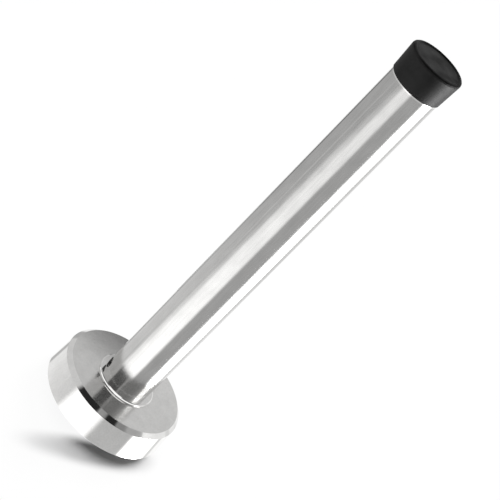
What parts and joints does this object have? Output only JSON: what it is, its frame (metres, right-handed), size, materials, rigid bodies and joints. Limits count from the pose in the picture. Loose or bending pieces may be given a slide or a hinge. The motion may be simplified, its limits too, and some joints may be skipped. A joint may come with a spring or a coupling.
{
  "type": "wall door stop",
  "caption": "Long round tube on a thick chamfered wall rose, with a locking screw at its foot, a flared rubber buffer at its free end and a hidden screw plate inside the rose.",
  "frame": {"origin": "centre of the rose's wall face", "axes": "+Z along the stem, from the wall toward the buffer; the locking screw at the stem's foot faces 195 degrees from +X toward +Y"},
  "size_m": [0.0512, 0.0512, 0.18],
  "materials": {
    "rose_steel": "turned and circular brushed face, polished chamfer and side",
    "stem_steel": "satin brushed along its length",
    "ring_steel": "turned, polished",
    "bush_steel": "turned, plain",
    "plate_steel": "plain sheet",
    "spigot_steel": "turned, plain",
    "screw_steel": "plain, bright",
    "buffer_rubber": "moulded, satin"
  },
  "bodies": {
    "root": {"rose": "rose_steel", "stem_tube": "stem_steel", "foot_ring": "ring_steel", "foot_bush": "bush_steel", "wall_plate": "plate_steel", "spigot": "spigot_steel", "grub_screw": "screw_steel", "buffer": "buffer_rubber"}
  },
  "joints": []
}
